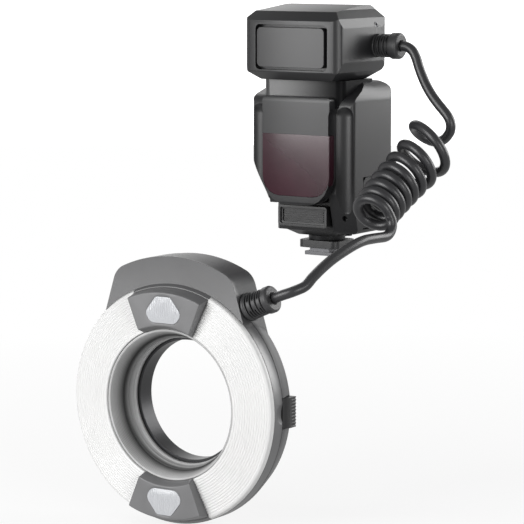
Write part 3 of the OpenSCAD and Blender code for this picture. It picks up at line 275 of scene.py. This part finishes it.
# Rounded outline: at each corner an arc of its radius, and points added along the straight sides
def roundedOutline(corners, perCorner, perSide):
    arcs = []
    for k, (x, y, r) in enumerate(corners):
        here = np.array([x, y])
        toLast = np.array(corners[k - 1][:2]) - here
        toNext = np.array(corners[(k + 1) % len(corners)][:2]) - here
        toLast, toNext = toLast / np.linalg.norm(toLast), toNext / np.linalg.norm(toNext)
        half = math.acos(toLast @ toNext) / 2
        centre = here + (toLast + toNext) / np.linalg.norm(toLast + toNext) * r / math.sin(half)
        a, b = here + toLast * r / math.tan(half) - centre, here + toNext * r / math.tan(half) - centre
        start = math.atan2(a[1], a[0])
        sweep = (math.atan2(b[1], b[0]) - start + math.pi) % (2 * math.pi) - math.pi
        angle = start + sweep * np.linspace(0, 1, perCorner)
        arcs.append(centre + r * np.stack([np.cos(angle), np.sin(angle)], -1))
    outline = []
    for k, arc in enumerate(arcs):
        ahead = arcs[(k + 1) % len(arcs)][0]
        outline += [arc, arc[-1] + (ahead - arc[-1]) * np.linspace(0, 1, perSide + 2)[1:-1, None]]
    return np.vstack(outline)


outline = roundedOutline(lensCorners, lensSizes["perCorner"], lensSizes["perSide"])
inward = np.linspace(1, 0, lensSizes["rings"] + 1)[:-1]
filled = inward[:, None, None] * outline[None]
pillow = lensSizes["rim"] + ((lensSizes["crown"] - lensSizes["rim"])
                             * (1 - inward ** lensSizes["crownPower"])[:, None])
ribShare = np.clip((1 - inward) / lensSizes["ribStart"], 0, 1)[:, None]
ribWave = 0.5 - 0.5 * np.cos(2 * np.pi * filled[..., 0] / lensSizes["ribPitch"])
height = pillow - lensSizes["ribHeight"] * ribShare * ribWave
lensRows = np.concatenate([outline[None], filled])
lensHeights = np.concatenate([np.full((1, len(outline)), lensSizes["back"]), height])
lenses = []
for name, flip in (("lampLensTop", 1), ("lampLensBottom", -1)):
    points = onRing(flip * lensRows[..., 0], flip * (lensSizes["middle"] + lensRows[..., 1]), lensHeights)
    faces = gridFaces(len(lensRows), len(outline), closeColumns=True) + endCaps(len(lensRows), len(outline))
    lenses.append(pieceFrom(name, points, faces))
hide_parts("lamp_lenses")
print("stage: lenses")

# Boots: a turned outline (distance along, radius) cut by rows of slots, every other row a quarter turn on
bootSizes = dict(sides=96, step=0.14, soft=0.22, opening=0.72, openingSoft=0.25)
headBoot = dict(node="head_cord_boot", start=headBootStart, tilt=0, rows=6, first=32.4, pitch=1.5, width=0.8,
                depth=1.3, outline=[(25.2, 4.8), (30.9, 4.8), (30.95, 6.2), (31.2, 6.4), (40.9, 6.4),
                                    (41.1, 6.9), (41.6, 7.2), (44.9, 7.2), (45.6, 7.05), (46.2, 6.5),
                                    (46.5, 5.8), (46.5, 3.3), (46.3, 3.2)])
ringBoot = dict(node="ring_cord_boot", start=ringBootStart, tilt=ringBootPlace["tilt"], rows=7, first=4.6,
                pitch=1.55, width=0.85, depth=2.4,
                outline=[(-5.8, 5.2), (1.95, 5.2), (2.0, 7.1), (2.25, 7.4), (3.3, 7.4), (3.6, 7.0),
                         (14.0, 6.5), (14.4, 7.0), (17.0, 7.0), (17.6, 6.7), (18.0, 6.0), (18.0, 3.3),
                         (17.8, 3.2)])


# Slotted tube: the outline's radius, less depth * a soft step across each row
# * a soft step of the cosine of twice the angle
def slottedBoot(name, boot):
    corners = np.array(boot["outline"])
    spans = np.linalg.norm(np.diff(corners, axis=0), axis=1)
    counts = np.maximum(1, np.ceil(spans / bootSizes["step"])).astype(int)
    line = np.vstack([*(a + (b - a) * np.linspace(0, 1, n, endpoint=False)[:, None]
                        for a, b, n in zip(corners[:-1], corners[1:], counts)), corners[-1:]])
    angle = np.linspace(0, 2 * np.pi, bootSizes["sides"], endpoint=False)[None, :]
    radius = line[:, 1:] + 0 * angle
    for k in range(boot["rows"]):
        off = np.abs(line[:, :1] - boot["first"] - k * boot["pitch"])
        across = np.clip((boot["width"] / 2 - off) / bootSizes["soft"] + 0.5, 0, 1)
        wave = np.cos(2 * angle + np.pi * (k % 2)) + bootSizes["opening"]
        around = np.clip(wave / bootSizes["openingSoft"], 0, 1)
        radius = radius - boot["depth"] * across * around
    along, toFront = bootDirection(boot["tilt"]), np.array([0, -1.0, 0])
    ring = np.cos(angle)[..., None] * toFront + np.sin(angle)[..., None] * np.cross(along, toFront)
    points = boot["start"] + line[:, :1, None] * along + radius[..., None] * ring
    faces = gridFaces(len(line), bootSizes["sides"], closeColumns=True)
    faces += endCaps(len(line), bootSizes["sides"])
    piece = pieceFrom(name, points * millimetre, turnedOver(faces))
    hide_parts(boot["node"])
    return piece


boots = [slottedBoot("headBootSlotted", headBoot), slottedBoot("ringBootSlotted", ringBoot)]
print("stage: boots")


# A shader node of a kind, with its named or numbered inputs set
def addNode(tree, kind, inputs=()):
    node = tree.nodes.new("ShaderNode" + kind)
    for socket, value in dict(inputs).items():
        node.inputs[socket].default_value = value
    return node


# Links between pairs of sockets, each an output and the input it feeds
def join(tree, *pairs):
    for source, target in pairs:
        tree.links.new(source, target)


# A node tree with the object's coordinates and a principled shader ready
def newSurface(name):
    material = bpy.data.materials.new(name)
    material.use_nodes = True
    tree = material.node_tree
    return material, tree, tree.nodes["Principled BSDF"], addNode(tree, "TexCoord")


# Painted sheen and shade by place: the specular level goes from one value to another as a smooth step along a
# direction, over a reach in metres, standing in for how the light falls on the piece
def paintedSheenByPlace(tree, shader, place, paintedSheen):
    lean = addNode(tree, "VectorMath", {1: paintedSheen["along"]})
    lean.operation = "DOT_PRODUCT"
    level = addNode(tree, "MapRange", {"From Min": paintedSheen["reach"][0], "From Max": paintedSheen["reach"][1],
                                       "To Min": paintedSheen["levels"][0], "To Max": paintedSheen["levels"][1]})
    level.interpolation_type = "SMOOTHSTEP"
    join(tree, (place.outputs["Object"], lean.inputs[0]), (lean.outputs["Value"], level.inputs["Value"]),
         (level.outputs["Result"], shader.inputs["Specular IOR Level"]))


crownShape = dict(stretch=(1.7, 1, 0.65), middle=(-0.01, 0, 0.068))  # middle in metres


# Slight crown: the normal leans as if the height fell with the square of the stretched distance from a middle
def crownNormal(tree, place, bump, rise):
    scale = addNode(tree, "VectorMath", {1: crownShape["stretch"]})
    scale.operation = "MULTIPLY"
    away = addNode(tree, "VectorMath", {1: crownShape["middle"]})
    away.operation = "DISTANCE"
    square = addNode(tree, "Math")
    square.operation = "MULTIPLY"
    bulge = addNode(tree, "Bump", {"Strength": 1, "Distance": rise})
    bulge.invert = True
    join(tree, (place.outputs["Object"], scale.inputs[0]), (scale.outputs["Vector"], away.inputs[0]),
         (away.outputs["Value"], square.inputs[0]), (away.outputs["Value"], square.inputs[1]),
         (square.outputs["Value"], bulge.inputs["Height"]), (bulge.outputs["Normal"], bump.inputs["Normal"]))


mouldSizes = dict(patches=45, patchDetail=3, grainDetail=2, low=0.3, high=0.7, grainDepth=0.00006)  # metres


# Moulded surface: broad noise tints the colour, a fine grain varies the roughness and lifts the normal, and
# where asked a painted sheen by place stands in for light and shade
def moulded(name, colour, rough, grain=2600, lift=0.3, tint=0.1, coat=0.0, metal=0.0, spread=0.05, gloss=0.5,
            crown=0.0, paintedSheen=None):
    material, tree, shader, place = newSurface(name)
    broad = addNode(tree, "TexNoise", {"Scale": mouldSizes["patches"], "Detail": mouldSizes["patchDetail"]})
    fine = addNode(tree, "TexNoise", {"Scale": grain, "Detail": mouldSizes["grainDetail"]})
    ramp = addNode(tree, "ValToRGB")
    for element, factor, at in zip(ramp.color_ramp.elements, (1 - tint, 1 + tint),
                                   (mouldSizes["low"], mouldSizes["high"])):
        element.position = at
        element.color = [min(1, c * factor) for c in colour] + [1]
    sheen = addNode(tree, "MapRange", {"To Min": rough - spread, "To Max": rough + spread})
    bump = addNode(tree, "Bump", {"Strength": lift, "Distance": mouldSizes["grainDepth"]})
    for socket, value in (("Specular IOR Level", gloss), ("Coat Weight", coat), ("Metallic", metal)):
        shader.inputs[socket].default_value = value
    join(tree, (place.outputs["Object"], broad.inputs["Vector"]),
         (place.outputs["Object"], fine.inputs["Vector"]),
         (broad.outputs["Fac"], ramp.inputs["Fac"]), (ramp.outputs["Color"], shader.inputs["Base Color"]),
         (fine.outputs["Fac"], sheen.inputs["Value"]), (sheen.outputs["Result"], shader.inputs["Roughness"]),
         (fine.outputs["Fac"], bump.inputs["Height"]), (bump.outputs["Normal"], shader.inputs["Normal"]))
    if paintedSheen:
        paintedSheenByPlace(tree, shader, place, paintedSheen)
    if crown:
        crownNormal(tree, place, bump, crown)
    return material


# Milky plastic: light scatters a little way under the surface, to a depth in metres
def milky(name, colour, rough, scatter, depth):
    material = moulded(name, colour, rough, grain=900, lift=0.05, tint=0.015, spread=0.03)
    shader = material.node_tree.nodes["Principled BSDF"]
    shader.inputs["Subsurface Weight"].default_value = scatter
    shader.inputs["Subsurface Radius"].default_value = (1, 1, 1)
    shader.inputs["Subsurface Scale"].default_value = depth
    return material


# painted shade along the funnel's depth: shades from pale at the mouth to near black deep inside
funnelPaintedShade = dict(front=-0.1522, back=-0.1352,  # metres along the axis
                   shades=((0.0, 0.95), (0.25, 0.6), (0.42, 0.2), (0.5, 0.035), (1.0, 0.015)))


# Funnel surface: the moulded colour multiplied by a ramp along the ring's axis, painted light and shade that
# is pale towards the mouth and near black deep inside
def paintedShadeFunnelSurface(name):
    material = moulded(name, (0.5, 0.5, 0.5), 0.5, grain=1800, gloss=0.3)
    tree = material.node_tree
    shader, place = tree.nodes["Principled BSDF"], tree.nodes["Texture Coordinate"]
    split, ramp = addNode(tree, "SeparateXYZ"), addNode(tree, "ValToRGB")
    depth = addNode(tree, "MapRange", {"From Min": funnelPaintedShade["front"], "From Max": funnelPaintedShade["back"]})
    mix = addNode(tree, "Mix", {"Factor": 1})
    mix.data_type, mix.blend_type = "RGBA", "MULTIPLY"
    shades = ramp.color_ramp.elements
    for at, shade in funnelPaintedShade["shades"]:
        shades.new(at).color = (shade, shade, shade, 1)
    shades.remove(shades[0])
    shades.remove(shades[-1])
    tint = shader.inputs["Base Color"].links[0].from_socket
    first, second, mixed = mix.inputs[6], mix.inputs[7], mix.outputs[2]  # the mix node's colour sockets
    join(tree, (place.outputs["Object"], split.inputs[0]), (split.outputs["Y"], depth.inputs["Value"]),
         (depth.outputs["Result"], ramp.inputs["Fac"]), (tint, first),
         (ramp.outputs["Color"], second), (mixed, shader.inputs["Base Color"]))
    return material


surfaces = {
    # painted shade: the shell's shine falls away towards its bottom, darkening the lower flank
    "shell_plastic": moulded("charcoalShell", (0.012, 0.012, 0.013), 0.38, crown=0.9,
                             paintedSheen=dict(along=(0, 0, 1), reach=(0.0, 0.05), levels=(0.16, 0.52))),
    # painted sheen: the ring's front rim shines fully and its side far less
    "ring_plastic": moulded("ringShell", (0.078, 0.078, 0.08), 0.38,
                            paintedSheen=dict(along=(0, 1, 0.09), reach=(-0.1508, -0.145), levels=(1.1, 0.16))),
    "black_plastic": moulded("blackMoulding", (0.01, 0.01, 0.0107), 0.42, grain=1800),
    "rubber": moulded("bootRubber", (0.03, 0.03, 0.0315), 0.45, grain=1500),
    "cord": moulded("cordJacket", (0.022, 0.022, 0.024), 0.36, grain=1400, lift=0.2),
    "button_plastic": moulded("buttonRubber", (0.06, 0.06, 0.062), 0.55, grain=2000),
    # painted sheen: the window shines more towards its top and its right
    "red_window": moulded("maroonWindow", (0.035, 0.008, 0.015), 0.16, grain=300, lift=0.0, tint=0.2,
                          gloss=0.3, spread=0.02, crown=0.9,
                          paintedSheen=dict(along=(1, 0, 1.1), reach=(0.01, 0.09), levels=(0.2, 0.85))),
    "diffuser": milky("milkyDiffuser", (0.73, 0.73, 0.725), 0.35, 0.3, 0.0008),
    "lamp_lens": milky("frostedLens", (0.5, 0.51, 0.53), 0.22, 0.3, 0.0015),
    "clear_window": moulded("displayGlass", (0.035, 0.042, 0.04), 0.12, lift=0.0, coat=0.5),
    "steel": moulded("brushedSteel", (0.1, 0.1, 0.105), 0.4, metal=0.9, lift=0.1),
    "dark_steel": moulded("darkScrew", (0.09, 0.09, 0.095), 0.38, metal=0.8, lift=0.1),
    "dark_metal": moulded("blackAnodised", (0.03, 0.03, 0.032), 0.4, metal=0.5, lift=0.1),
    "contact_metal": moulded("goldContact", (0.7, 0.52, 0.2), 0.3, metal=1.0, lift=0.1),
    "cell_metal": moulded("cellCan", (0.35, 0.35, 0.37), 0.35, metal=0.9, lift=0.1),
    "board": moulded("boardGreen", (0.02, 0.09, 0.04), 0.5),
    "display": moulded("displayGrey", (0.2, 0.22, 0.18), 0.3),
    "red_lamp": moulded("readyRed", (0.3, 0.01, 0.01), 0.2, lift=0.0, coat=0.4),
    "capacitor": moulded("capacitorSleeve", (0.02, 0.02, 0.022), 0.4),
    "reflector": moulded("brightReflector", (0.8, 0.8, 0.81), 0.2, metal=1.0, lift=0.05),
    "tube_glass": moulded("tubeGlass", (0.75, 0.8, 0.84), 0.1, lift=0.0),
    "lamp_core": moulded("lampPhosphor", (0.6, 0.52, 0.22), 0.4),
}
lampShell = moulded("lampShell", (0.15, 0.15, 0.153), 0.42)
# painted shade: the neck is a darker copy of the shell plastic for the shade under the head, and its shine
# falls away towards its right side
shadedNeckShell = moulded("shadedNeckShell", (0.006, 0.006, 0.0065), 0.38,
                    paintedSheen=dict(along=(1, 0, 0), reach=(-0.02, 0.024), levels=(1.0, 0.04)))
ownSurface = {"neck": shadedNeckShell, "lamp_block_top": lampShell, "lamp_block_bottom": lampShell}
slotOf = {part["node"]: part["material_slot"] for part in frame["record"]["subparts"]}

# Soft edges of the solids, in millimetres by node where they differ, and shading that keeps flat faces flat
edgeSizes = dict(weld=0.002, plain=0.2, segments=2, angle=28, flatness=80)
edgeOf = {"body_front_shell": 0.5, "body_rear_shell": 0.5, "head_front_shell": 0.6, "head_rear_shell": 0.5,
          "head_front_panel": 0.5, "neck": 0.4, "ring_front_housing": 0.5, "ring_rear_housing": 0.5,
          "lamp_block_top": 0.5, "lamp_block_bottom": 0.5, "sensor_cover": 0.4, "af_window": 0.35}
for name, node in frame["nodes"].items():
    node.data.materials.clear()
    node.data.materials.append(ownSurface.get(name, surfaces[slotOf[name]]))
    weld = node.modifiers.new("weld", "WELD")
    weld.merge_threshold = edgeSizes["weld"] * millimetre
    soften = node.modifiers.new("soften", "BEVEL")
    soften.width = edgeOf.get(name, edgeSizes["plain"]) * millimetre
    soften.segments = edgeSizes["segments"]
    soften.limit_method, soften.angle_limit = "ANGLE", math.radians(edgeSizes["angle"])
    soften.use_clamp_overlap, soften.harden_normals = True, name == "af_window"
    if name != "af_window":
        even = node.modifiers.new("even", "WEIGHTED_NORMAL")
        even.weight, even.mode = edgeSizes["flatness"], "FACE_AREA_WITH_ANGLE"
for surface, pieces in ((surfaces["cord"], [curlyCord]), (paintedShadeFunnelSurface("shadedFunnelMoulding"), [funnel]),
                        (surfaces["diffuser"], diffusers), (surfaces["lamp_lens"], lenses),
                        (surfaces["rubber"], boots)):
    for piece in pieces:
        piece.data.materials.append(surface)
print("stage: materials")

# The studio, in metres: how bright the background is in view, in gloss and glass, and as light
studioSizes = dict(glossShare=0.35, white=1.0, dim=0.1)
floorSizes = dict(half=9, gap=0.0008, colour=0.92, rough=0.7, near=0.05, far=0.55, nearGlow=0.76, dim=0.5)
cardSizes = dict(left=(-2.9, 0.75), right=(0.5, 2.95), top=1.2, strength=1.6)
lightBoxes = dict(
    frontBox=dict(place=(-0.5, -1.34, 0.34), target=(0, -0.06, 0.04), size=0.9, power=19),
    edgeBox=dict(place=(1.25, -0.75, 0.2), target=(0, -0.06, 0.04), size=0.6, power=7),
    flankBox=dict(place=(0.85, 1.15, 0.5), target=(0, -0.06, 0.08), size=0.9, power=15),
    rearBox=dict(place=(-1.2, 0.8, 1.1), target=(0, -0.04, 0.04), size=0.9, power=4))


# Share of the background that a ray shows: all of it in view, part of it in gloss and through glass
def seenShare(tree):
    rays, shiny, seen = addNode(tree, "LightPath"), addNode(tree, "Math"), addNode(tree, "Math")
    dimmed = addNode(tree, "Math", {1: studioSizes["glossShare"]})
    shiny.operation, dimmed.operation, seen.operation = "MAXIMUM", "MULTIPLY", "MAXIMUM"
    join(tree, (rays.outputs["Is Glossy Ray"], shiny.inputs[0]),
         (rays.outputs["Is Transmission Ray"], shiny.inputs[1]), (shiny.outputs["Value"], dimmed.inputs[0]),
         (dimmed.outputs["Value"], seen.inputs[0]), (rays.outputs["Is Camera Ray"], seen.inputs[1]))
    return seen.outputs["Value"]


# One four-cornered face of the stage with its surface
def stageFace(name, corners, material):
    mesh = bpy.data.meshes.new(name)
    mesh.from_pydata(corners, [], [(0, 1, 2, 3)])
    mesh.materials.append(material)
    face = bpy.data.objects.new(name, mesh)
    collection.objects.link(face)
    return face


# Floor surface: pale near the object, and a glow that takes over with distance, white in view
def floorSurface(name):
    material, tree, shader, place = newSurface(name)
    shader.inputs["Base Color"].default_value = (*[floorSizes["colour"]] * 3, 1)
    shader.inputs["Roughness"].default_value = floorSizes["rough"]
    glow, blend, away = (addNode(tree, k) for k in ("Emission", "MixShader", "VectorMath"))
    bright = addNode(tree, "MapRange", {"To Min": floorSizes["dim"]})
    reach = addNode(tree, "MapRange", {"From Min": floorSizes["near"], "From Max": floorSizes["far"],
                                       "To Min": floorSizes["nearGlow"]})
    away.operation = "LENGTH"
    join(tree, (seenShare(tree), bright.inputs["Value"]), (bright.outputs["Result"], glow.inputs["Strength"]),
         (place.outputs["Object"], away.inputs[0]), (away.outputs["Value"], reach.inputs["Value"]),
         (reach.outputs["Result"], blend.inputs["Fac"]), (shader.outputs["BSDF"], blend.inputs[1]),
         (glow.outputs["Emission"], blend.inputs[2]),
         (blend.outputs["Shader"], tree.nodes["Material Output"].inputs["Surface"]))
    return material


# Card surface: an even white glow without shine
def cardSurface(name):
    material, _, shader, _ = newSurface(name)
    shader.inputs["Base Color"].default_value = (0, 0, 0, 1)
    shader.inputs["Specular IOR Level"].default_value = 0
    shader.inputs["Emission Color"].default_value = (1, 1, 1, 1)
    shader.inputs["Emission Strength"].default_value = cardSizes["strength"]
    return material


# A soft square light at a place, facing a point
def softLight(name, place, target, size, power):
    data = bpy.data.lights.new(name, "AREA")
    data.shape, data.size, data.energy = "SQUARE", size, power
    light = bpy.data.objects.new(name, data)
    light.location = place
    light.rotation_euler = (Vector(target) - Vector(place)).to_track_quat("-Z", "Y").to_euler()
    collection.objects.link(light)
    return light


half, floorHeight = floorSizes["half"], float(cadLow[2]) - floorSizes["gap"]
floor = stageFace("floor", [(x, y, floorHeight) for x, y in ((-half, -half), (half, -half), (half, half),
                                                            (-half, half))], floorSurface("paleFloor"))
lights = [softLight(name, **box) for name, box in lightBoxes.items()]
# A white card behind, seen in the tops of the pieces
left, right, top = cardSizes["left"], cardSizes["right"], cardSizes["top"]
card = stageFace("card", [(*left, floorHeight), (*right, floorHeight), (*right, top), (*left, top)],
                 cardSurface("cardWhite"))

# World: even dim light, and plain white in view
world = bpy.data.worlds.new("studio")
bpy.context.scene.world = world
world.use_nodes = True
tree = world.node_tree
background = tree.nodes["Background"]
background.inputs["Color"].default_value = (1, 1, 1, 1)
strength = addNode(tree, "MapRange", {"To Min": studioSizes["dim"], "To Max": studioSizes["white"]})
join(tree, (seenShare(tree), strength.inputs["Value"]),
     (strength.outputs["Result"], background.inputs["Strength"]))
bpy.context.scene.view_settings.view_transform = "Standard"
print("stage: studio")
